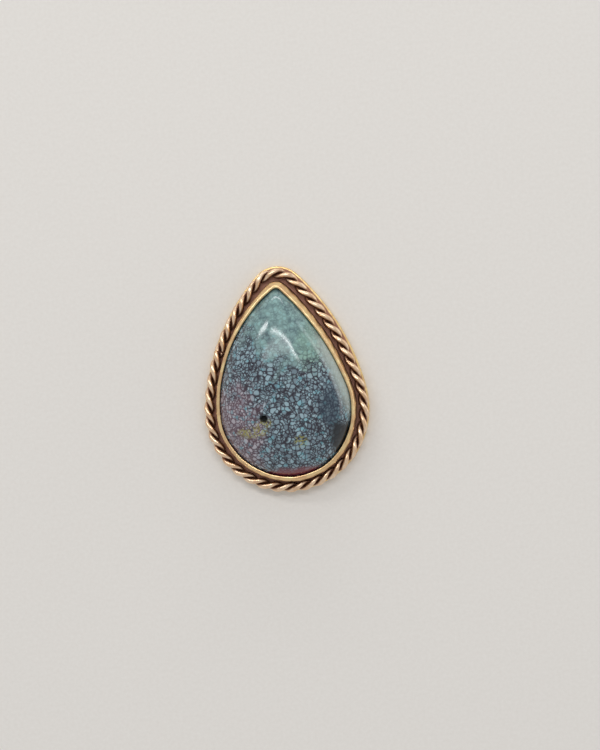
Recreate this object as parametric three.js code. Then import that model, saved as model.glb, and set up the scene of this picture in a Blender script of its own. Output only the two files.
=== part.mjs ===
// A drop-shaped turquoise cabochon held in a brass bezel cup, with a border of two twisted wires.
// Millimetres. The piece lies on its back plate, +Z is up through the stone and the tip points to +Y.
import * as THREE from "three";
import { LoftGeometry } from "three/addons/geometries/LoftGeometry.js";

// Drop outlines, seen from the face: the radius of the round end, the reach from its centre to the
// sharp tip, the radii of the two side arcs, the radius that rounds the tip, the centre's place, and how
// far the foot of the round end swells past a circle. The setting is made by hand, so the left side is
// rounder than the right and no two outlines are parallel.
const OPENING = {
  end: 6.26, reach: 11.73, left: 14.42, right: 24.18, tip: 0.5,
  x: 0, y: 0, swell: 0.21,
};
const BEZEL_WALL = {
  end: 6.74, reach: 12.76, left: 16.35, right: 24.29, tip: 1.2,
  x: 0.01, y: -0.1, swell: 0.21,
};
const ROPE_OUTSIDE = {
  end: 7.97, reach: 14.7, left: 20.58, right: 25.3, tip: 2.76,
  x: -0.03, y: -0.17, swell: 0,
};
const BACK_PLATE = {
  end: 7.92, reach: 14.72, left: 20.5, right: 22.5, tip: 2.7,
  x: 0.02, y: -0.12, swell: 0,
};

// Where round the foot the swelling is highest, and how far to each side it reaches
const SWELL_TOWARDS = THREE.MathUtils.degToRad(290);
const SWELL_SPREAD = THREE.MathUtils.degToRad(68);

// Heights above the surface that the plate lies on
const PLATE_TOP = 0.6;
const SEAT_GAP = 0.02;
const WALL_SHOULDER = 2.1;
const CROWN_OUTSIDE = 2.74;
const CROWN_TOP = 2.9;
const LIP_EDGE = 2.82;
const LIP_UNDERSIDE = 2.68;
const INNER_SHOULDER = 2.2;
const GIRDLE_TOP = 1.4;
const STONE_TOP = 5.6;

// Distances outwards from the stone opening
const GIRDLE_OUT = 0.2;
const INNER_WALL_OUT = 0.26;
const LIP_UNDERSIDE_OUT = 0.05;
const CROWN_TOP_OUT = 0.18;
const CROWN_OUTSIDE_OUT = 0.36;

// The stone's dome: where its summit lies, how full its curve is, how much rounder the tip grows
// towards the summit, and how many rings it takes
const BASE_CHAMFER = 0.25;
const DOME_SUMMIT_Y = 1.5;
const DOME_FULLNESS = 2.2;
const DOME_TIP_ROUNDING = 6;
const DOME_RINGS = 8;
const DOME_LAST_RING = 0.12;

// The rope: two equal wires laid round each other, with their ends meeting on the left side
const WIRE_RADIUS = 0.2575;
const WIRE_CLEARANCE = 0.005;
const ROPE_LAY = 2.74;
const ROPE_JOINT = 9.6;
const ROPE_JOINT_GAP = 0.12;
const FIRST_CROWN = 0.96;
const HIGHEST_TURN = 0.25;
const HALF_TURN = 0.5;
const STEPS_PER_TURN = 9;
const WIRE_HALF_SIDES = 4;

// Straight steps along each arc of an outline
const TIP_STEPS = 3;
const SIDE_STEPS = 14;
const END_STEPS = 28;

// Finishes
const PLATE_BRASS = { color: 0x8f7148, roughness: 0.45, metalness: 1 };
const BEZEL_BRASS = { color: 0xb08d57, roughness: 0.32, metalness: 1 };
const ROPE_BRASS = { color: 0xa9854f, roughness: 0.38, metalness: 1 };
const TURQUOISE = { color: 0x6f8890, roughness: 0.15, metalness: 0 };

const WIRE_OFFSET = WIRE_RADIUS + WIRE_CLEARANCE;
const ROPE_RADIUS = WIRE_RADIUS + WIRE_OFFSET;
const ROPE_HEIGHT = PLATE_TOP + SEAT_GAP + ROPE_RADIUS;

// The centre of a side arc, which passes through the sharp tip and holds the round end inside it
function sideCentre(shape, radius, side) {
  const apart = radius - shape.end;
  const y = (apart ** 2 - radius ** 2 + shape.reach ** 2) / (2 * shape.reach);
  return new THREE.Vector2(-side * Math.sqrt(apart ** 2 - y ** 2), y);
}

// The centre of the tip's arc, which touches both side arcs from inside
function tipCentre(shape, left, right) {
  const leftReach = shape.left - shape.tip;
  const rightReach = shape.right - shape.tip;
  const across = left.clone().sub(right);
  const apart = across.length();
  const along = (rightReach ** 2 - leftReach ** 2 + apart ** 2) / (2 * apart);
  const up = Math.sqrt(rightReach ** 2 - along ** 2);
  const unit = across.normalize();
  const square = new THREE.Vector2(-unit.y, unit.x);
  return right.clone().addScaledVector(unit, along).addScaledVector(square, up);
}

// The arcs of one outline, moved outwards by a distance, counterclockwise from the middle of the tip.
// Each arc's angles are those of its outward normal.
function dropArcs(shape, outwards = 0) {
  const place = new THREE.Vector2(shape.x, shape.y);
  const end = new THREE.Vector2();
  const left = sideCentre(shape, shape.left, -1);
  const right = sideCentre(shape, shape.right, 1);
  const tip = tipCentre(shape, left, right);
  const tipRight = tip.clone().sub(right).angle();
  const tipLeft = tip.clone().sub(left).angle();
  const tipMiddle = (tipRight + tipLeft) / 2;
  const endLeft = left.clone().negate().angle();
  const endRight = right.clone().negate().angle() + 2 * Math.PI;
  const corners = [tipMiddle, tipLeft, endLeft, endRight, tipRight + 2 * Math.PI, tipMiddle + 2 * Math.PI];
  const rounds = [
    { centre: tip, radius: shape.tip, steps: TIP_STEPS },
    { centre: left, radius: shape.left, steps: SIDE_STEPS },
    { centre: end, radius: shape.end, steps: END_STEPS },
    { centre: right, radius: shape.right, steps: SIDE_STEPS },
    { centre: tip, radius: shape.tip, steps: TIP_STEPS },
  ];
  return rounds.map(({ centre, radius, steps }, index) => ({
    centre: centre.clone().add(place),
    radius: radius + outwards,
    start: corners[index],
    sweep: corners[index + 1] - corners[index],
    swell: shape.swell,
    steps,
  }));
}

// The share of its swelling that an outline has, at an outward-normal angle
function swelling(angle) {
  const away = Math.min(Math.abs(angle - SWELL_TOWARDS) / SWELL_SPREAD, 1);
  return Math.cos((away * Math.PI) / 2) ** 2;
}

// A point of an arc, at an outward-normal angle
function arcPoint(arc, angle) {
  const radius = arc.radius + arc.swell * swelling(angle);
  return new THREE.Vector2(Math.cos(angle), Math.sin(angle)).multiplyScalar(radius).add(arc.centre);
}

// An outline as a ring of points
function dropRing(shape, outwards = 0) {
  return dropArcs(shape, outwards).flatMap((arc) => {
    const stride = arc.sweep / arc.steps;
    return Array.from({ length: arc.steps }, (_, step) => arcPoint(arc, arc.start + stride * step));
  });
}

// A ring of points lifted to one height
function level(ring, z) {
  return ring.map((point) => new THREE.Vector3(point.x, point.y, z));
}

// The flat plate that everything is soldered to
function plateGeometry() {
  const outline = new THREE.Shape(dropRing(BACK_PLATE));
  return new THREE.ExtrudeGeometry(outline, { depth: PLATE_TOP, bevelEnabled: false });
}

// The bezel band: up its outer wall, over the crown to the lip, and down its inner wall
function bezelGeometry() {
  const foot = PLATE_TOP + SEAT_GAP;
  const wall = dropRing(BEZEL_WALL);
  const innerWall = dropRing(OPENING, INNER_WALL_OUT);
  const sections = [
    level(wall, foot),
    level(wall, WALL_SHOULDER),
    level(dropRing(OPENING, CROWN_OUTSIDE_OUT), CROWN_OUTSIDE),
    level(dropRing(OPENING, CROWN_TOP_OUT), CROWN_TOP),
    level(dropRing(OPENING), LIP_EDGE),
    level(dropRing(OPENING, LIP_UNDERSIDE_OUT), LIP_UNDERSIDE),
    level(innerWall, INNER_SHOULDER),
    level(innerWall, foot),
    level(wall, foot),
  ];
  return new LoftGeometry(sections);
}

// The stone: a flat base with a small chamfer, an upright girdle and a dome that narrows to its summit,
// with a tip that grows rounder as it climbs
function stoneGeometry() {
  const base = PLATE_TOP + SEAT_GAP;
  const girdle = dropRing(OPENING, GIRDLE_OUT);
  const summit = new THREE.Vector2(OPENING.x, OPENING.y + DOME_SUMMIT_Y);
  const sections = [
    level(dropRing(OPENING, GIRDLE_OUT - BASE_CHAMFER), base),
    level(girdle, base + BASE_CHAMFER),
    level(girdle, GIRDLE_TOP),
  ];
  for (let ring = 1; ring <= DOME_RINGS; ring += 1) {
    const slope = (ring / DOME_RINGS) * Math.acos(DOME_LAST_RING ** (DOME_FULLNESS / 2));
    const width = Math.cos(slope) ** (2 / DOME_FULLNESS);
    const rise = Math.sin(slope) ** (2 / DOME_FULLNESS);
    const softer = { ...OPENING, tip: OPENING.tip + DOME_TIP_ROUNDING * (1 - width) };
    const narrowed = dropRing(softer, GIRDLE_OUT).map((point) => summit.clone().lerp(point, width));
    sections.push(level(narrowed, GIRDLE_TOP + (STONE_TOP - GIRDLE_TOP) * rise));
  }
  return new LoftGeometry(sections, { capStart: true, capEnd: true });
}

const ropeArcs = dropArcs(ROPE_OUTSIDE, -ROPE_RADIUS);
const ropeLength = ropeArcs.reduce((total, arc) => total + arc.radius * arc.sweep, 0);

// The rope's middle line at a distance from the tip, with the angle of its outward normal there
function ropeSpot(distance) {
  let rest = distance % ropeLength;
  let index = 0;
  while (rest > ropeArcs[index].radius * ropeArcs[index].sweep) {
    rest -= ropeArcs[index].radius * ropeArcs[index].sweep;
    index += 1;
  }
  const angle = ropeArcs[index].start + rest / ropeArcs[index].radius;
  return { middle: arcPoint(ropeArcs[index], angle), angle };
}

// One wire of the rope, winding round the rope's middle line from one side of the joint to the other
class RopeWire extends THREE.Curve {
  constructor(startTurn) {
    super();
    this.startTurn = startTurn;
    this.arcLengthDivisions = 2000;
  }

  getPoint(t, target = new THREE.Vector3()) {
    const distance = ROPE_JOINT + ROPE_JOINT_GAP / 2 + t * (ropeLength - ROPE_JOINT_GAP);
    const { middle, angle } = ropeSpot(distance);
    const turns = this.startTurn + (distance + FIRST_CROWN - ropeLength) / ROPE_LAY;
    const outwards = WIRE_OFFSET * Math.cos(2 * Math.PI * turns);
    const upwards = WIRE_OFFSET * Math.sin(2 * Math.PI * turns);
    const x = middle.x + outwards * Math.cos(angle);
    const y = middle.y + outwards * Math.sin(angle);
    return target.set(x, y, ROPE_HEIGHT + upwards);
  }
}

function wireGeometry(startTurn) {
  const section = new THREE.Shape().absarc(0, 0, WIRE_RADIUS, 0, 2 * Math.PI);
  return new THREE.ExtrudeGeometry(section, {
    extrudePath: new RopeWire(startTurn),
    steps: Math.round((ropeLength / ROPE_LAY) * STEPS_PER_TURN),
    curveSegments: WIRE_HALF_SIDES,
  });
}

// One named sub-part with its own material
function piece(name, geometry, finish) {
  const mesh = new THREE.Mesh(geometry, new THREE.MeshStandardMaterial(finish));
  mesh.name = name;
  return mesh;
}

const setting = new THREE.Group();
setting.add(piece("back_plate", plateGeometry(), PLATE_BRASS));
setting.add(piece("bezel_band", bezelGeometry(), BEZEL_BRASS));
setting.add(piece("turquoise_cabochon", stoneGeometry(), TURQUOISE));
setting.add(piece("rope_wire_1", wireGeometry(HIGHEST_TURN), ROPE_BRASS));
setting.add(piece("rope_wire_2", wireGeometry(HIGHEST_TURN + HALF_TURN), ROPE_BRASS));

// The origin is the middle of the whole piece's footprint, on the plate's back
const middle = new THREE.Box3().setFromObject(setting).getCenter(new THREE.Vector3());
setting.position.set(-middle.x, -middle.y, 0);

const part = new THREE.Group();
part.add(setting);

export default part;
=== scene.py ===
# %% [markdown]
# A drop of turquoise in a rope-edged brass setting.
# The imported model already says where every piece is and how big it is. This lesson makes each piece
# again as a finished surface in the same place: plate, bezel wall, stone and the two wires of the rope.
# The first step loads the frame and keeps its parts, whose boxes give the sizes.

# %% Load the imported frame
import math
from collections import namedtuple

import bmesh
import bpy
from mathutils import Matrix, Vector, noise


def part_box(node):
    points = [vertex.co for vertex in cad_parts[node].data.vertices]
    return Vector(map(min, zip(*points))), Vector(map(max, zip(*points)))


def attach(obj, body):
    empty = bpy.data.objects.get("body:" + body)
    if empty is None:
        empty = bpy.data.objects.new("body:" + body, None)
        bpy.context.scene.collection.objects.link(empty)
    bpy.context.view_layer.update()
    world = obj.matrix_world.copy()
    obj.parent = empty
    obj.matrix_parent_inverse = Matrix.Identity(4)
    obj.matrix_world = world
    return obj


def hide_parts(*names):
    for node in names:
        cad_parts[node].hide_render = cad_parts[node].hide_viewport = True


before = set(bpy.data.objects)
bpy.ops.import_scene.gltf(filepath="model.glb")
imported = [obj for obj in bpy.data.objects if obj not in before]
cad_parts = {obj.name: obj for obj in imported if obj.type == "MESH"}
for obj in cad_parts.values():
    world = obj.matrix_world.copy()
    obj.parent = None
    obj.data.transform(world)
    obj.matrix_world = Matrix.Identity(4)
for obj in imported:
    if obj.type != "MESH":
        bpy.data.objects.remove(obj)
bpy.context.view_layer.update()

# %% [markdown]
# A jeweller thinks in millimetres, with the stone in front of them. So each piece is modelled on a bench:
# the origin is the centre of the drop's round end, the tip points along +Y and heights start at the back
# of the plate. Heights come from the boxes of the CAD nodes, so they follow the frame.

# %% Heights on the bench
MM = 0.001
stone_low, stone_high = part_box("turquoise_cabochon")
bezel_low, bezel_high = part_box("bezel_band")
wire_low, wire_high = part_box("rope_wire_1")
PLATE_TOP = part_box("back_plate")[1].z / MM
FOOT = bezel_low.z / MM
CROWN_TOP = bezel_high.z / MM
STONE_TOP = stone_high.z / MM
ROPE_HEIGHT = (wire_low.z + wire_high.z) / 2 / MM
print(f"plate {PLATE_TOP:.2f}, bezel {CROWN_TOP:.2f} and stone {STONE_TOP:.2f} mm high")

# %% [markdown]
# Every outline of this setting is a drop: a round end, two long side arcs and a rounded tip. A drop could
# be traced by eye, point by point, but four arcs that touch each other describe it exactly, and moving
# all the arcs outwards gives a parallel drop. The maker bent everything by hand, so the left side is
# fuller than the right, and wall, rope and plate each have a drop of their own.

# %% The drops, in millimetres
Drop = namedtuple("Drop", "end reach left right tip x y swell")
OPENING = Drop(end=6.26, reach=11.73, left=14.42, right=24.18, tip=0.5, x=0.0, y=0.0, swell=0.21)
BEZEL_WALL = Drop(end=6.74, reach=12.76, left=16.35, right=24.29, tip=1.2, x=0.01, y=-0.1, swell=0.21)
ROPE_OUTSIDE = Drop(end=7.97, reach=14.7, left=20.58, right=25.3, tip=2.76, x=-0.03, y=-0.17, swell=0.0)
BACK_PLATE = Drop(end=7.92, reach=14.72, left=20.5, right=22.5, tip=2.7, x=0.02, y=-0.12, swell=0.0)
SWELL_TOWARDS = math.radians(290)
SWELL_SPREAD = math.radians(68)


def swelling(angle):
    """The share of its swelling that a drop has, at an angle round the foot of its round end."""
    away = min(abs(angle - SWELL_TOWARDS) / SWELL_SPREAD, 1.0)
    return math.cos(away * math.pi / 2) ** 2


print("outlines:", "opening, bezel wall, rope and plate")

# %% [markdown]
# To draw a drop we need the centre of each arc. A side arc passes through the sharp tip and holds the round
# end inside it, and the tip's arc touches both side arcs from inside. Each arc is kept with the angle of
# its outward normal, so a later step can ask which way is out at any place along it.

# %% Split a drop into arcs
Arc = namedtuple("Arc", "centre radius start sweep")
FULL_TURN = 2 * math.pi


def side_centre(shape, radius, side):
    """The centre of one long side arc; side is -1 for the left and 1 for the right."""
    apart = radius - shape.end
    y = (apart**2 - radius**2 + shape.reach**2) / (2 * shape.reach)
    return Vector((-side * math.sqrt(apart**2 - y**2), y))


def tip_centre(shape, left, right):
    """The centre of the arc that rounds the tip."""
    left_reach = shape.left - shape.tip
    right_reach = shape.right - shape.tip
    across = left - right
    along = (right_reach**2 - left_reach**2 + across.length_squared) / (2 * across.length)
    unit = across.normalized()
    return right + unit * along + Vector((-unit.y, unit.x)) * math.sqrt(right_reach**2 - along**2)


def heading(vector):
    """The angle of a flat vector, from 0 to a full turn."""
    return math.atan2(vector.y, vector.x) % FULL_TURN


def drop_arcs(shape, outwards=0.0):
    """The five arcs of a drop, counterclockwise from the middle of its tip."""
    left = side_centre(shape, shape.left, -1)
    right = side_centre(shape, shape.right, 1)
    tip = tip_centre(shape, left, right)
    tip_right = heading(tip - right)
    tip_left = heading(tip - left)
    middle = (tip_right + tip_left) / 2
    end_left = heading(-left)
    end_right = heading(-right) + FULL_TURN
    corners = (middle, tip_left, end_left, end_right, tip_right + FULL_TURN, middle + FULL_TURN)
    centres = (tip, left, Vector((0, 0)), right, tip)
    radii = (shape.tip, shape.left, shape.end, shape.right, shape.tip)
    place = Vector((shape.x, shape.y))
    return [
        Arc(centre + place, radius + outwards, start, stop - start)
        for centre, radius, start, stop in zip(centres, radii, corners, corners[1:])
    ]


print("the opening's arcs:", [f"{arc.radius:.2f} mm" for arc in drop_arcs(OPENING)])

# %% [markdown]
# Now the bench can be laid into the frame. The stone is a drop a little larger than the opening, so the
# middle of its CAD box is the bench's middle, and the box's upper end is the stone's tip. One matrix
# then carries every finished piece from the bench into the frame.

# %% From the bench to the frame
GIRDLE_OUT = 0.2
stone_tip = drop_arcs(OPENING, GIRDLE_OUT)[0]
tip_reach = stone_tip.centre.y + stone_tip.radius
drop_centre = Vector(((stone_low.x + stone_high.x) / 2, stone_high.y - tip_reach * MM, 0.0))
BENCH_TO_FRAME = Matrix.Translation(drop_centre) @ Matrix.Scale(MM, 4)
print("the round end's centre in the frame:", tuple(drop_centre))

# %% [markdown]
# Spin is made for arcs: it takes one vertex, turns it round a centre and leaves edges behind it. Five spins
# draw a drop, and a weld closes it. Two rings with the same number of steps then line up, so
# Bridge Edge Loops can stretch a clean skin of quads between them.

# %% Draw rings and skin them
ARC_STEPS = (4, 22, 44, 22, 4)
WELD = 1e-4


def draw_drop(bm, shape, outwards, height):
    """Draws one drop as a closed ring of edges and returns its vertices and edges."""
    older = set(bm.verts)
    arcs = drop_arcs(shape, outwards)
    first = arcs[0]
    start = first.centre + Vector((math.cos(first.start), math.sin(first.start))) * first.radius
    pen = bm.verts.new((start.x, start.y, height))
    for arc, steps in zip(arcs, ARC_STEPS):
        pivot = (arc.centre.x, arc.centre.y, height)
        spun = bmesh.ops.spin(bm, geom=[pen], cent=pivot, axis=(0, 0, 1), angle=arc.sweep, steps=steps)
        pen = spun["geom_last"][0]
    drawn = [vert for vert in bm.verts if vert not in older]
    bmesh.ops.remove_doubles(bm, verts=drawn, dist=WELD)
    ring = [vert for vert in bm.verts if vert not in older]
    for vert in ring:
        out = vert.co.xy - Vector((shape.x, shape.y))
        swell = out.normalized() * shape.swell * swelling(heading(out))
        vert.co += swell.to_3d()
    edges = [edge for edge in bm.edges if edge.verts[0] not in older]
    return ring, edges


def skin(bm, rings):
    """Bridges each ring of edges to the next."""
    for lower, upper in zip(rings, rings[1:]):
        bmesh.ops.bridge_loops(bm, edges=lower + upper)


print("steps in a ring:", sum(ARC_STEPS))

# %% [markdown]
# A coarse cage is easy to control, and a Subdivision Surface rounds it. Here the rounding is baked into the
# mesh at once, because dents, pits and wear are added to the dense surface afterwards. The last helper
# sends a finished piece to the frame: it rides on the one body and stands in for its CAD node, which it
# hides.

# %% Round a cage and show a piece
PATTERN_LAYER = "worn"


def rounded(bm, levels):
    """The dense mesh that a Subdivision Surface makes of a cage."""
    mesh = bpy.data.meshes.new("cage")
    bm.to_mesh(mesh)
    bm.free()
    cage = bpy.data.objects.new("cage", mesh)
    bpy.context.scene.collection.objects.link(cage)
    rounding = cage.modifiers.new("rounding", "SUBSURF")
    rounding.levels = levels
    rounding.render_levels = levels
    dense = bmesh.new()
    dense.from_object(cage, bpy.context.evaluated_depsgraph_get())
    bpy.data.objects.remove(cage)
    bpy.data.meshes.remove(mesh)
    return dense


def show(bm, name, node):
    """Turns a finished bench mesh into a piece of the object, in the frame."""
    bmesh.ops.transform(bm, matrix=BENCH_TO_FRAME, verts=bm.verts)
    bmesh.ops.recalc_face_normals(bm, faces=bm.faces)
    mesh = bpy.data.meshes.new(name)
    bm.to_mesh(mesh)
    bm.free()
    mesh.shade_smooth()
    piece = bpy.data.objects.new(name, mesh)
    bpy.context.scene.collection.objects.link(piece)
    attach(piece, "root")
    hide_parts(node)
    mesh.calc_loop_triangles()
    print(f"{name}: {len(mesh.loop_triangles)} triangles")
    return piece


# %% [markdown]
# The back plate is sheet brass, sawn out round the rope and filed. It could be one extruded face, but a
# filed edge catches a line of light, so its rim is bevelled. Insetting the two flat faces then keeps the
# smooth shading of the bevel from bleeding across the flats. Each vertex also gets a wear value for the
# finish: the filed rim is bright, and the flats, which no cloth reaches, stay dark.

# %% The back plate
PLATE_BEVEL = 0.09
PLATE_FILED = 0.01
PLATE_MARGIN = 0.12
FLAT_WEAR = 0.2

plate_bm = bmesh.new()
worn = plate_bm.verts.layers.float.new(PATTERN_LAYER)
plate_edges = draw_drop(plate_bm, BACK_PLATE, -PLATE_FILED, 0.0)[1]
back_face = bmesh.ops.edgeloop_fill(plate_bm, edges=plate_edges)["faces"]
lifted = bmesh.ops.extrude_face_region(plate_bm, geom=back_face, use_keep_orig=True)["geom"]
lifted_verts = [item for item in lifted if isinstance(item, bmesh.types.BMVert)]
bmesh.ops.translate(plate_bm, vec=(0, 0, PLATE_TOP), verts=lifted_verts)
bmesh.ops.recalc_face_normals(plate_bm, faces=plate_bm.faces)
rims = [edge for edge in plate_bm.edges if abs(edge.verts[0].co.z - edge.verts[1].co.z) < WELD]
bmesh.ops.bevel(
    plate_bm, geom=rims, offset=PLATE_BEVEL, offset_type="OFFSET", segments=3, profile=0.5,
    affect="EDGES", material=-1,
)
flats = [face for face in plate_bm.faces if abs(face.normal.z) > 0.99]
bmesh.ops.inset_region(plate_bm, faces=flats, thickness=PLATE_MARGIN)
flat_verts = {vert for face in flats for vert in face.verts}
for vert in plate_bm.verts:
    vert[worn] = FLAT_WEAR if vert in flat_verts else 1.0
plate = show(plate_bm, "plate", "back_plate")

# %% [markdown]
# The bezel wall is a strip of thin brass bent into a drop. Its foot stands on the plate, and the maker has
# rubbed its top over the stone, so the wall leans in at the shoulder, rounds over a crown and ends in a
# lip. Twelve drops follow that section from the outer foot to the inner one, and bridging them, with the
# last joined to the first, gives a closed strip.

# %% The bezel cage
bezel_bm = bmesh.new()
BEZEL_SECTION = (
    (BEZEL_WALL, 0.0, FOOT),
    (BEZEL_WALL, 0.0, FOOT + 0.15),
    (BEZEL_WALL, 0.0, 1.9),
    (BEZEL_WALL, -0.04, 2.35),
    (OPENING, 0.37, 2.72),
    (OPENING, 0.27, CROWN_TOP - 0.03),
    (OPENING, 0.15, CROWN_TOP),
    (OPENING, 0.04, CROWN_TOP - 0.03),
    (OPENING, 0.0, CROWN_TOP - 0.1),
    (OPENING, 0.06, CROWN_TOP - 0.2),
    (OPENING, 0.26, 2.2),
    (OPENING, 0.26, FOOT),
)
bezel_rings = [draw_drop(bezel_bm, *row)[1] for row in BEZEL_SECTION]
skin(bezel_bm, bezel_rings + bezel_rings[:1])
bezel_bm = rounded(bezel_bm, 2)
print("bezel vertices:", len(bezel_bm.verts))

# %% [markdown]
# Nothing bent by hand is even. A slow noise field moves the wall a few hundredths of a millimetre, the same
# way inside and out, so that its thickness stays. Then come two marks that this piece shows: the seam
# where the strip's ends meet and a nick on the right shoulder. The wear value is the height, so the rubbed
# crown is bright and the foot of the wall stays dark. A seed makes the noise the same in every run.

# %% Hand work on the bezel
WALL_WANDER = 0.05
WALL_WANDER_SCALE = 0.55
WANDER_SEED = 7
SEAM = Vector((-6.5, -0.14))
NICK = Vector((5.02, 5.8))


def bump(distance, reach):
    """A soft hump: 1 in the middle, 0 beyond its reach."""
    share = min(distance / reach, 1.0)
    return (1 - share * share) ** 2


noise.seed_set(WANDER_SEED)
for vert in bezel_bm.verts:
    wander = noise.noise_vector(vert.co * WALL_WANDER_SCALE)
    seam = bump(abs(vert.co.y - SEAM.y), 0.1) * (vert.co.x < 0) * (vert.co.z > 1.0)
    nick = bump((vert.co.xy - NICK).length, 0.22) * (vert.co.z > 2.0)
    near_crown = bump(abs(vert.co.z - CROWN_TOP), 0.9)
    vert.co.x += WALL_WANDER * wander.x + 0.05 * seam
    vert.co.y += WALL_WANDER * wander.y
    vert.co.z += 0.02 * wander.z * near_crown - 0.1 * nick
bmesh.ops.translate(bezel_bm, vec=(0, 0, -0.02), verts=bezel_bm.verts)
worn = bezel_bm.verts.layers.float.new(PATTERN_LAYER)
for vert in bezel_bm.verts:
    height = (vert.co.z - FOOT) / (CROWN_TOP - FOOT)
    vert[worn] = min(max(height, 0.0), 1.0)
bezel = show(bezel_bm, "bezel", "bezel_band")

# %% [markdown]
# The stone is a cabochon: a flat base, an upright girdle and a polished dome. The dome is built from drops
# that narrow towards a summit along a superellipse, which is a little fuller than a circle. As they
# narrow, their tips grow rounder, because a polishing wheel can't keep a crease running up the stone.

# %% The stone
SUMMIT = Vector((0.0, 1.5, 0.0))
GIRDLE_TOP = 1.4
BASE_CHAMFER = 0.25
DOME_FULLNESS = 2.2
DOME_TIP_ROUNDING = 6.0
DOME_RINGS = 18
DOME_LAST_RING = 0.03

stone_bm = bmesh.new()
STONE_SECTION = (
    (OPENING, GIRDLE_OUT - BASE_CHAMFER, FOOT),
    (OPENING, GIRDLE_OUT, FOOT + BASE_CHAMFER),
    (OPENING, GIRDLE_OUT, GIRDLE_TOP),
)
stone_rings = [draw_drop(stone_bm, *row)[1] for row in STONE_SECTION]
last_slope = math.acos(DOME_LAST_RING ** (DOME_FULLNESS / 2))
for ring in range(1, DOME_RINGS + 1):
    slope = last_slope * ring / DOME_RINGS
    width = math.cos(slope) ** (2 / DOME_FULLNESS)
    rise = math.sin(slope) ** (2 / DOME_FULLNESS)
    shape = OPENING._replace(tip=OPENING.tip + DOME_TIP_ROUNDING * (1 - width))
    verts, edges = draw_drop(stone_bm, shape, GIRDLE_OUT, GIRDLE_TOP + (STONE_TOP - GIRDLE_TOP) * rise)
    bmesh.ops.scale(stone_bm, vec=(width, width, 1), space=Matrix.Translation(-SUMMIT), verts=verts)
    stone_rings.append(edges)
skin(stone_bm, stone_rings)
bmesh.ops.edgeloop_fill(stone_bm, edges=stone_rings[0])
bmesh.ops.edgeloop_fill(stone_bm, edges=stone_rings[-1])
bmesh.ops.recalc_face_normals(stone_bm, faces=stone_bm.faces)
stone_bm = rounded(stone_bm, 2)
print("stone vertices:", len(stone_bm.verts))

# %% [markdown]
# The stone has one open pit, a real hole in its surface. Painting it black alone would look flat from the
# side.
# So the faces around it are subdivided until they are fine enough, and their vertices are pressed down
# inside a rough circle. Later its floor is also painted near black, as painted shade.

# %% The pit
PIT = Vector((-1.95, -0.54))
PIT_RADIUS = 0.36
PIT_DEPTH = 0.5
PIT_PATCH = 0.75

for _ in range(2):
    around = [
        edge for edge in stone_bm.edges
        if edge.verts[0].co.z > GIRDLE_TOP
        and all((vert.co.xy - PIT).length < PIT_PATCH for vert in edge.verts)
    ]
    bmesh.ops.subdivide_edges(stone_bm, edges=around, cuts=1, use_grid_fill=True)
for vert in stone_bm.verts:
    if vert.co.z > GIRDLE_TOP:
        away = (vert.co.xy - PIT).length
        ragged = PIT_RADIUS * (1 + 0.25 * noise.noise(vert.co * 4.0))
        pressed = 1 - min(away / ragged, 1.0) ** 4
        vert.co.z -= PIT_DEPTH * max(pressed, 0.0)
stone = show(stone_bm, "stone", "turquoise_cabochon")

# %% [markdown]
# The rope is made as it is on the bench: two straight wires are twisted together, the length is snipped off,
# and the twist is bent round the bezel. Spin does the twisting, because besides turning a shape it can
# push it along the axis at each step, which turns a circle into a helical wire. The circle leans by the
# angle of the lay, so that the wire comes out round.

# %% Twist one straight wire
WIRE_RADIUS = 0.249
WIRE_OFFSET = 0.2545
ROPE_LAY = 2.74
ROPE_JOINT = 9.6
ROPE_JOINT_GAP = 0.12
FIRST_CROWN = 0.96
ROPE_INSET = 0.53
WIRE_SIDES = 18
STEPS_PER_TURN = 22
SPARE_END = 0.4

rope_arcs = drop_arcs(ROPE_OUTSIDE, -ROPE_INSET)
rope_length = sum(arc.radius * arc.sweep for arc in rope_arcs)
cut_length = rope_length - ROPE_JOINT_GAP


def twisted_wire(start_turn):
    """One straight wire of the rope, lying along +X from the joint, with Y outwards and Z up."""
    bm = bmesh.new()
    turns = (cut_length + 2 * SPARE_END) / ROPE_LAY
    steps = round(turns * STEPS_PER_TURN)
    lean = math.atan2(FULL_TURN * WIRE_OFFSET, ROPE_LAY)
    first_turn = start_turn - SPARE_END / ROPE_LAY
    place = (
        Matrix.Translation((-SPARE_END, 0, 0))
        @ Matrix.Rotation(FULL_TURN * first_turn, 4, "X")
        @ Matrix.Translation((0, WIRE_OFFSET, 0))
        @ Matrix.Rotation(math.pi / 2 - lean, 4, "Y")
    )
    bmesh.ops.create_circle(bm, segments=WIRE_SIDES, radius=WIRE_RADIUS, matrix=place)
    push = (turns * ROPE_LAY / steps, 0, 0)
    bmesh.ops.spin(
        bm, geom=bm.verts[:] + bm.edges[:], cent=(0, 0, 0), axis=(1, 0, 0), dvec=push,
        angle=FULL_TURN * turns, steps=steps,
    )
    for end, way in ((0.0, -1), (cut_length, 1)):
        everything = bm.verts[:] + bm.edges[:] + bm.faces[:]
        cut = bmesh.ops.bisect_plane(
            bm, geom=everything, plane_co=(end, 0, 0), plane_no=(way, 0, 0), clear_outer=True
        )
        rim = [item for item in cut["geom_cut"] if isinstance(item, bmesh.types.BMEdge)]
        bmesh.ops.edgeloop_fill(bm, edges=rim)
    return bm


print(f"rope length {rope_length:.2f} mm, {rope_length / ROPE_LAY:.1f} turns")

# %% [markdown]
# Bending the rope needs one question answered: where is the middle of the rope at a distance from the tip,
# and which way is out? Before the bend, each vertex also learns how far it stands from the rope's middle.
# The crowns of the wires are rubbed bright and the grooves keep their dark patina, so that number later
# steers the finish.

# %% Bend the wires round the bezel
ROPE_SLACK = 0.05


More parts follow.
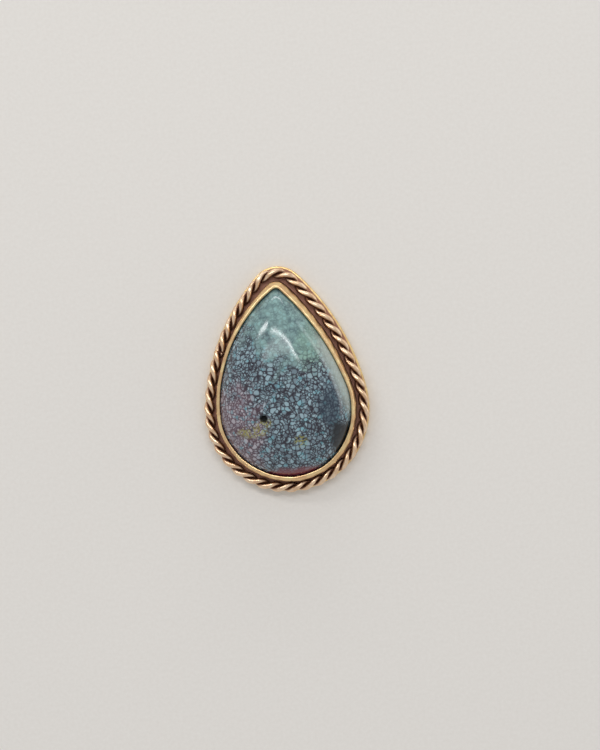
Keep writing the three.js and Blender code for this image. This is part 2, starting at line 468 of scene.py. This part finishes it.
def rope_spot(distance):
    """A place on the rope's middle line, at a distance from the tip, and the way outwards there."""
    rest = distance % rope_length
    for arc in rope_arcs:
        if rest <= arc.radius * arc.sweep:
            break
        rest -= arc.radius * arc.sweep
    angle = arc.start + rest / arc.radius
    out = Vector((math.cos(angle), math.sin(angle)))
    return arc.centre + out * arc.radius, out


def bend_round(bm):
    """Bends a straight twist along the rope's middle line."""
    worn = bm.verts.layers.float.new(PATTERN_LAYER)
    for vert in bm.verts:
        along, outwards, upwards = vert.co
        vert[worn] = math.hypot(outwards, upwards) / (WIRE_RADIUS + WIRE_OFFSET)
        stretch = ROPE_SLACK * noise.noise(Vector((along * 0.35, 0.0, 7.0)))
        middle, out = rope_spot(ROPE_JOINT + ROPE_JOINT_GAP / 2 + along + stretch)
        flat = middle + out * outwards
        vert.co = (flat.x, flat.y, ROPE_HEIGHT + upwards)


HIGHEST_TURN = 0.25
HALF_TURN = 0.5
joint_turn = HIGHEST_TURN + (ROPE_JOINT + ROPE_JOINT_GAP / 2 + FIRST_CROWN - rope_length) / ROPE_LAY
wires = []
for number in (1, 2):
    wire_bm = twisted_wire(joint_turn + HALF_TURN * (number - 1))
    bend_round(wire_bm)
    wires.append(show(wire_bm, f"wire_{number}", f"rope_wire_{number}"))

# %% [markdown]
# Finishes are built from nodes. A few small helpers keep those graphs readable: one adds a node and fills
# its sockets with values or with links, and the others wrap the nodes that come up again and again.
# All patterns read Object coordinates turned back into bench millimetres, so a cell of the stone or a
# scratch on the brass has its real size.

# %% Helpers for finishes
class Finish:
    """A material under construction, with short ways to add nodes to it."""

    def __init__(self, name):
        self.material = bpy.data.materials.new(name)
        self.material.use_nodes = True
        self.tree = self.material.node_tree
        self.shader = self.tree.nodes["Principled BSDF"]
        coordinates = self.add("TexCoord")
        bench = self.add(
            "Mapping", vector_type="TEXTURE",
            Vector=coordinates.outputs["Object"], Location=drop_centre, Scale=(MM, MM, MM),
        )
        self.place = bench.outputs["Vector"]

    def add(self, kind, **settings):
        """Adds a node. A setting that names a socket fills or links it, any other sets a property."""
        node = self.tree.nodes.new("ShaderNode" + kind)
        properties = {key: value for key, value in settings.items() if hasattr(node, key)}
        for key, value in properties.items():
            setattr(node, key, value)
        for key, value in settings.items():
            if key not in properties:
                self.plug(value, node.inputs[key.replace("_", " ")])
        return node

    def plug(self, value, socket):
        """Links an output to a socket, or writes a plain value on it."""
        if isinstance(value, bpy.types.NodeSocket):
            self.tree.links.new(value, socket)
        else:
            socket.default_value = value

    def calc(self, operation, *values):
        """A Math node."""
        node = self.add("Math", operation=operation)
        for value, socket in zip(values, node.inputs):
            self.plug(value, socket)
        return node.outputs[0]

    def shift(self, operation, *values):
        """A Vector Math node."""
        node = self.add("VectorMath", operation=operation)
        for value, socket in zip(values, node.inputs):
            self.plug(value, socket)
        return node.outputs["Value"] if operation == "LENGTH" else node.outputs["Vector"]

    def blend(self, factor, under, over):
        """A Mix node for colours: under where the factor is 0 and over where it is 1."""
        node = self.add("Mix", data_type="RGBA")
        for value, socket in zip((factor, under, over), (node.inputs[0], node.inputs[6], node.inputs[7])):
            self.plug(value, socket)
        return node.outputs[2]

    def between(self, value, low, high, bottom=0.0, top=1.0):
        """Turns a value between low and high into a smooth step from bottom to top."""
        node = self.add("MapRange", interpolation_type="SMOOTHSTEP")
        for item, socket in zip((value, low, high, bottom, top), node.inputs):
            self.plug(item, socket)
        return node.outputs[0]

    def cloud(self, scale, detail):
        """Noise with a size in features per millimetre."""
        return self.add("TexNoise", Vector=self.place, Scale=scale, Detail=detail)


def srgb(red, green, blue):
    """A colour as seen on screen, from 0 to 255, as the light values that nodes use."""
    channels = [channel / 255 for channel in (red, green, blue)]
    light = [c / 12.92 if c <= 0.04045 else ((c + 0.055) / 1.055) ** 2.4 for c in channels]
    return (*light, 1.0)


# %% [markdown]
# The metal is a yellow brass that was darkened all over and then rubbed bright where a cloth reaches.
# One recipe makes a finish for each of the three brass parts, with tones of its own: a wear value from the
# mesh, broken up by two noises, mixes the brown patina with the bright metal, and makes the patina rougher.
# Fine noise gives scratches and the soft dents of hand work.

# %% Antiqued brass
Brass = namedtuple("Brass", "bright warm patina")
PLATE_BRASS = Brass(srgb(248, 216, 150), srgb(230, 192, 132), srgb(170, 126, 108))
BEZEL_BRASS = Brass(srgb(244, 216, 162), srgb(226, 186, 138), srgb(104, 70, 54))
ROPE_BRASS = Brass(srgb(250, 222, 190), srgb(232, 194, 156), srgb(120, 80, 62))


def antiqued_brass(name, tones, wear_low, wear_high):
    """Brass that is bright where its wear is above wear_high and patinated below wear_low."""
    brass = Finish(name)
    wear = brass.add("Attribute", attribute_name=PATTERN_LAYER).outputs["Fac"]
    cloud = brass.cloud(1.3, 4.0).outputs["Fac"]
    speck = brass.cloud(11.0, 3.0).outputs["Fac"]
    uneven = brass.calc("MULTIPLY_ADD", brass.calc("SUBTRACT", cloud, 0.5), 0.4, wear)
    uneven = brass.calc("MULTIPLY_ADD", brass.calc("SUBTRACT", speck, 0.5), 0.12, uneven)
    bright = brass.between(uneven, wear_low, wear_high)
    metal = brass.blend(brass.between(cloud, 0.35, 0.65), tones.warm, tones.bright)
    brass.plug(brass.blend(bright, tones.patina, metal), brass.shader.inputs["Base Color"])
    brass.plug(1.0, brass.shader.inputs["Metallic"])
    roughness = brass.calc("MULTIPLY_ADD", speck, 0.12, brass.between(bright, 0.0, 1.0, 0.45, 0.24))
    brass.plug(roughness, brass.shader.inputs["Roughness"])
    dents = brass.cloud(2.2, 2.0).outputs["Fac"]
    relief = brass.add("Bump", Strength=0.35, Distance=0.00003, Height=dents)
    brass.plug(relief.outputs["Normal"], brass.shader.inputs["Normal"])
    return brass.material


plate.data.materials.append(antiqued_brass("plate_brass", PLATE_BRASS, 0.3, 0.7))
bezel.data.materials.append(antiqued_brass("bezel_brass", BEZEL_BRASS, 0.5, 0.78))
rope_brass = antiqued_brass("rope_brass", ROPE_BRASS, 0.5, 0.8)
for wire in wires:
    wire.data.materials.append(rope_brass)
print("brass finishes:", "plate, bezel and rope")

# %% [markdown]
# Spider-web turquoise grew as rounded nodules in a dark host rock, so its polished face shows pale pebbles
# in a net of brown-black lines. A Voronoi texture makes just that: one node gives each cell its own
# random colour and another the distance to the nearest edge. Two sizes of cell are laid over each other,
# and warping the coordinates with noise first takes away the straight edges.

# %% The web of the stone
turquoise = Finish("spider_web_turquoise")
HALF = (0.5, 0.5, 0.5)
drift = turquoise.shift("SUBTRACT", turquoise.cloud(0.8, 2.0).outputs["Color"], HALF)
ripple = turquoise.shift("SUBTRACT", turquoise.cloud(3.6, 2.0).outputs["Color"], HALF)
warped = turquoise.shift("MULTIPLY_ADD", drift, (0.7, 0.7, 0.7), turquoise.place)
warped = turquoise.shift("MULTIPLY_ADD", ripple, (0.07, 0.07, 0.07), warped)
NODULES_PER_MM = 2.35
PEBBLES_PER_MM = 3.6
LINE_WIDTH = 0.08
ROUNDNESS = 0.85


def nodules(per_mm):
    """Random values for each cell, and a mask of rounded nodules: 1 in their hearts and 0 in the web."""
    grain = {"Vector": warped, "Scale": per_mm, "Randomness": ROUNDNESS}
    cells = turquoise.add("TexVoronoi", **grain)
    edges = turquoise.add("TexVoronoi", feature="DISTANCE_TO_EDGE", **grain)
    chance = turquoise.add("SeparateColor", Color=cells.outputs["Color"])
    line = turquoise.between(edges.outputs["Distance"], 0.0, LINE_WIDTH * per_mm)
    corner = turquoise.between(cells.outputs["Distance"], 0.45, 0.85, 1.0, 0.0)
    return chance, turquoise.calc("MULTIPLY", line, corner)


nodule_chance, nodule_heart = nodules(NODULES_PER_MM)
pebble_chance, pebble_heart = nodules(PEBBLES_PER_MM)
print(f"nodules of {1 / NODULES_PER_MM:.2f} mm and pebbles of {1 / PEBBLES_PER_MM:.2f} mm")

# %% [markdown]
# The stone isn't the same all over. Its tip is a cloudy teal with hardly any web and the middle is pale
# blue.
# The lower left is a mauve grey, partly the stone's own and partly a painted pinkish reflection. The right
# side gets painted dark reflections of navy and almost black, with a painted pale reflection along its rim,
# and the bottom edge a painted red-brown reflection.
# Each of these is a soft oval patch round a place on the bench, with its edge broken up by noise.

# %% Patches of colour
haze = turquoise.cloud(0.9, 5.0).outputs["Fac"]


def patch(x, y, wide, tall, ragged=0.8):
    """1 inside an oval on the face and 0 outside, with a soft and ragged edge. Sizes in millimetres."""
    moved = turquoise.shift("SUBTRACT", turquoise.place, (x, y, 0.0))
    oval = turquoise.shift("MULTIPLY", moved, (1 / wide, 1 / tall, 0.0))
    away = turquoise.shift("LENGTH", oval)
    away = turquoise.calc("MULTIPLY_ADD", turquoise.calc("SUBTRACT", haze, 0.5), 2 * ragged, away)
    return turquoise.between(away, 0.6, 1.4, 1.0, 0.0)


tip_patch = patch(1.0, 8.8, 3.8, 4.2)
green_patch = patch(3.0, 5.8, 1.3, 2.2)
# Partly the stone's own mauve grey and partly a painted pinkish reflection along the left edge.
mauve_and_reflection_patch = patch(-4.9, -1.8, 2.6, 4.4)
# Painted dark reflections on the right side of the stone: this navy patch and the near-black patch after it.
navy_reflection_patch = patch(4.4, 0.2, 1.0, 2.2, 0.5)
dark_reflection_patch = patch(5.2, -3.0, 1.1, 1.6, 0.5)
# Painted reflection: a red-brown band along the bottom edge.
red_reflection_patch = patch(0.8, -6.5, 4.6, 0.9, 0.5)
# Painted reflection: a pale band along the right rim, standing in for a bright light mirrored in the polish.
right_side = side_centre(OPENING, OPENING.right, 1)
rim_reach = turquoise.shift("SUBTRACT", turquoise.place, (right_side.x, right_side.y, 0.0))
rim_reach = turquoise.shift("LENGTH", turquoise.shift("MULTIPLY", rim_reach, (1.0, 1.0, 0.0)))
rim_reflection_patch = turquoise.between(rim_reach, OPENING.right - 1.25, OPENING.right - 0.35)
rim_reflection_patch = turquoise.calc("MULTIPLY", rim_reflection_patch, patch(5.0, 3.6, 2.2, 4.6, 0.4))
print("patches:", "tip, green, mauve, navy, black, red and the pale rim")

# %% [markdown]
# Now the colours go together. Three of them change slowly over the face: a pale one and a deep one, between
# which each cell picks by chance, and the web's own. The patches tint those three, so that the web
# stays visible through every patch. Colours are written as they look on screen and turned into light.

# %% Colours of the stone
PALE_BLUE = srgb(147, 172, 181)
TEAL = srgb(140, 173, 168)
GREEN = srgb(140, 176, 156)
PALE_MAUVE = srgb(178, 166, 172)
STEEL_BLUE = srgb(82, 94, 106)
DEEP_TEAL = srgb(98, 124, 126)
DEEP_MAUVE = srgb(112, 103, 114)
WEB = srgb(36, 32, 44)
TEAL_WEB = srgb(66, 84, 90)
MAUVE_WEB = srgb(88, 62, 72)
PURE_TURQUOISE = srgb(106, 168, 180)
# Navy, near black, red-brown and the pale rim colour are for painted reflections, and the pit's black is
# painted shade.
NAVY_REFLECTION = srgb(32, 50, 66)
NEAR_BLACK_REFLECTION = srgb(20, 22, 26)
RED_BROWN_REFLECTION = srgb(118, 48, 60)
PALE_RIM_REFLECTION = srgb(172, 184, 176)
OCHRE = srgb(152, 148, 72)
PIT_SHADE_BLACK = srgb(6, 6, 7)


def over(under, mask, colour, strength=1.0):
    """Lays a colour over another where its mask is 1, at some strength."""
    return turquoise.blend(turquoise.calc("MULTIPLY", mask, strength), under, colour)


def tinted(blue, teal, mauve):
    """A colour that is teal at the tip and mauve on the lower left, where the mauve is partly the stone's
    own and partly a painted pinkish reflection.
    """
    return over(over(blue, tip_patch, teal, 0.9), mauve_and_reflection_patch, mauve, 0.85)


pale = over(tinted(PALE_BLUE, TEAL, PALE_MAUVE), green_patch, GREEN, 0.8)
deep = tinted(STEEL_BLUE, DEEP_TEAL, DEEP_MAUVE)
web = tinted(WEB, TEAL_WEB, MAUVE_WEB)
print("tinted colours:", "pale, deep and web")

# %% [markdown]
# The face is painted from the bottom up, as layers over each other. Pebbles lie on the web. Where a large
# nodule comes, the web wipes them out first, so that no half pebble looks out from under its edge. A few
# nodules are tinted with pure turquoise, and the cloudy tip then hides most of its web.

# %% Nodules and cloudy tip

def cell_colour(chance):
    """A colour between deep and pale for each cell."""
    return turquoise.blend(turquoise.between(chance.outputs["Red"], -0.5, 1.0), deep, pale)


large = turquoise.between(nodule_chance.outputs["Green"], 0.45, 0.5)
mottle = turquoise.cloud(1.5, 5.0).outputs["Fac"]
pure = turquoise.between(mottle, 0.54, 0.66)
body = over(web, pebble_heart, cell_colour(pebble_chance))
body = over(body, large, web)
body = over(body, turquoise.calc("MULTIPLY", nodule_heart, large), cell_colour(nodule_chance))
body = over(body, turquoise.calc("MULTIPLY", nodule_heart, pure), PURE_TURQUOISE, 0.62)
cloudy = turquoise.blend(turquoise.between(mottle, 0.36, 0.62), DEEP_TEAL, TEAL)
cloudy = over(cloudy, green_patch, GREEN, 0.5)
body = over(body, tip_patch, cloudy, 0.62)
print("layers:", "web, pebbles, nodules and the cloudy tip")

# %% [markdown]
# The painted dark reflections, the painted red-brown and pale reflections along the rims, the ochre streaks
# and the painted shade of the pit come last, because they cover nodules and web alike. The streaks are thin
# winding lines: where a noise crosses its middle value, its distance from that value is near 0. The polish
# is a low roughness, and only the pit is rough.

# %% Painted reflections, streaks, pit shade and polish
# Painted dark reflections on the right, a painted red-brown reflection along the bottom and a painted pale
# reflection on the right rim.
body = over(body, navy_reflection_patch, NAVY_REFLECTION, 0.72)
body = over(body, dark_reflection_patch, NEAR_BLACK_REFLECTION, 0.95)
body = over(body, red_reflection_patch, RED_BROWN_REFLECTION, 0.9)
body = over(body, rim_reflection_patch, PALE_RIM_REFLECTION, 0.8)
veins = turquoise.cloud(2.4, 3.0).outputs["Fac"]
veins = turquoise.calc("ABSOLUTE", turquoise.calc("SUBTRACT", veins, 0.5))
veins = turquoise.between(veins, 0.03, 0.09, 1.0, 0.0)
streaks = turquoise.calc("MAXIMUM", patch(-3.2, -1.8, 1.3, 0.5, 0.3), patch(1.35, -2.9, 0.6, 0.5, 0.3))
streaks = turquoise.calc("MAXIMUM", streaks, patch(-2.0, -1.0, 0.7, 0.4, 0.3))
body = over(body, turquoise.calc("MULTIPLY", streaks, veins), OCHRE, 0.7)
# Painted shade: the floor of the pit is painted near black.
pit_mask = patch(PIT.x, PIT.y, PIT_RADIUS, PIT_RADIUS, 0.0)
body = over(body, pit_mask, PIT_SHADE_BLACK)
turquoise.plug(body, turquoise.shader.inputs["Base Color"])
turquoise.plug(turquoise.between(pit_mask, 0.0, 1.0, 0.12, 0.8), turquoise.shader.inputs["Roughness"])
turquoise.plug(1.55, turquoise.shader.inputs["IOR"])
stone.data.materials.append(turquoise.material)
print("stone nodes:", len(turquoise.tree.nodes))

# %% [markdown]
# The photograph looks almost straight down on the piece, leaning a few degrees to the upper right, with the
# tip a little left of upright. The camera is a long lens close by. It is placed from the scale of the
# picture: the size of one pixel at the bezel's lip, and the pixel where the drop's centre lies.

# %% The camera
PICTURE_SIZE = (600, 750)
PIXEL = 0.0952
DROP_PIXEL = (285.56, 409.65)
TIP_LEAN = math.radians(4.57)
VIEW_LEAN_RIGHT = math.radians(3.2)
VIEW_LEAN_UP = math.radians(3.2)
CAMERA_DISTANCE = 200.0
LIP_HEIGHT = 2.82
SENSOR = 36.0

picture_right = Vector((math.cos(TIP_LEAN), -math.sin(TIP_LEAN), 0))
picture_up = Vector((math.sin(TIP_LEAN), math.cos(TIP_LEAN), 0))
towards_camera = Vector((0, 0, 1)) + picture_right * math.tan(VIEW_LEAN_RIGHT)
towards_camera = (towards_camera + picture_up * math.tan(VIEW_LEAN_UP)).normalized()
aim = Vector((0, 0, LIP_HEIGHT))
aim += picture_right * (PICTURE_SIZE[0] / 2 - DROP_PIXEL[0]) * PIXEL
aim += picture_up * (DROP_PIXEL[1] - PICTURE_SIZE[1] / 2) * PIXEL
camera_right = picture_up.cross(towards_camera).normalized()
camera_up = towards_camera.cross(camera_right)
turn = Matrix((camera_right, camera_up, towards_camera)).transposed()
stand = BENCH_TO_FRAME @ (aim + towards_camera * CAMERA_DISTANCE)

lens = bpy.data.cameras.new("camera")
lens.lens = SENSOR * CAMERA_DISTANCE / (PICTURE_SIZE[1] * PIXEL)
lens.sensor_width = SENSOR
lens.clip_start = 0.01
lens.clip_end = 10.0
camera = bpy.data.objects.new("camera", lens)
camera.matrix_world = Matrix.Translation(stand) @ turn.to_4x4()
bpy.context.scene.collection.objects.link(camera)
bpy.context.scene.camera = camera
print(f"lens {lens.lens:.0f} mm at {CAMERA_DISTANCE:.0f} mm")

# %% [markdown]
# The piece lies on a sheet of pale paper, so that nothing draws the eye from it. One face of a grid is
# enough for the sheet, and a faint noise keeps it from looking like a screen.

# %% The floor
FLOOR_HALF = 2.0
floor_bm = bmesh.new()
bmesh.ops.create_grid(floor_bm, x_segments=1, y_segments=1, size=FLOOR_HALF)
floor_mesh = bpy.data.meshes.new("floor")
floor_bm.to_mesh(floor_mesh)
floor_bm.free()
floor = bpy.data.objects.new("floor", floor_mesh)
bpy.context.scene.collection.objects.link(floor)
paper = Finish("pale_paper")
tooth = paper.cloud(3.0, 4.0).outputs["Fac"]
paper.plug(paper.blend(tooth, srgb(222, 217, 210), srgb(232, 228, 222)), paper.shader.inputs["Base Color"])
paper.plug(0.75, paper.shader.inputs["Roughness"])
floor_mesh.materials.append(paper.material)
print("floor size in metres:", 2 * FLOOR_HALF)

# %% [markdown]
# Polished stone and metal show what stands round them, so the lights are softboxes with a size. A narrow
# window and a wide ceiling above the tip leave the long highlight and its haze on the dome, and a small
# window on the left the second arm of it. A low wall on the right adds to the pale band along that edge,
# which is also a painted reflection in the stone's colour. A strip behind the tip makes its short arc, and a
# quiet sky fills the rest.

# %% Soft light
STUDIO = bpy.context.scene
STUDIO.view_settings.view_transform = "Standard"
sky = bpy.data.worlds.new("studio")
sky.use_nodes = True
sky.node_tree.nodes["Background"].inputs["Color"].default_value = (0.97, 0.98, 1.0, 1.0)
sky.node_tree.nodes["Background"].inputs["Strength"].default_value = 0.58
STUDIO.world = sky


def softbox(name, bearing, elevation, width, height, radiance, tilt=0.0):
    """A soft light that faces the piece from half a metre away. Angles in degrees, bearing from the tip."""
    light = bpy.data.lights.new(name, "AREA")
    light.shape = "RECTANGLE"
    light.size = width
    light.size_y = height
    light.energy = radiance * math.pi * width * height
    lamp = bpy.data.objects.new(name, light)
    flat = math.cos(math.radians(elevation))
    way = Vector((
        flat * math.sin(math.radians(bearing)),
        flat * math.cos(math.radians(bearing)),
        math.sin(math.radians(elevation)),
    ))
    facing = way.to_track_quat("Z", "Y").to_matrix().to_4x4()
    lamp.matrix_world = Matrix.Translation(way * 0.5) @ facing @ Matrix.Rotation(math.radians(tilt), 4, "Z")
    lamp.visible_camera = False
    STUDIO.collection.objects.link(lamp)


softbox("window", 16.0, 62.0, 0.4, 0.022, 14.0)
softbox("left_window", -43.0, 38.0, 0.17, 0.05, 12.0, tilt=-48.5)
softbox("ceiling", -4.0, 68.5, 0.5, 0.075, 2.4)
softbox("right_wall", 78.0, 7.0, 0.5, 0.09, 1.8)
softbox("tip_strip", 5.0, 13.0, 0.5, 0.04, 7.0)
print("lights:", len(bpy.data.lights))
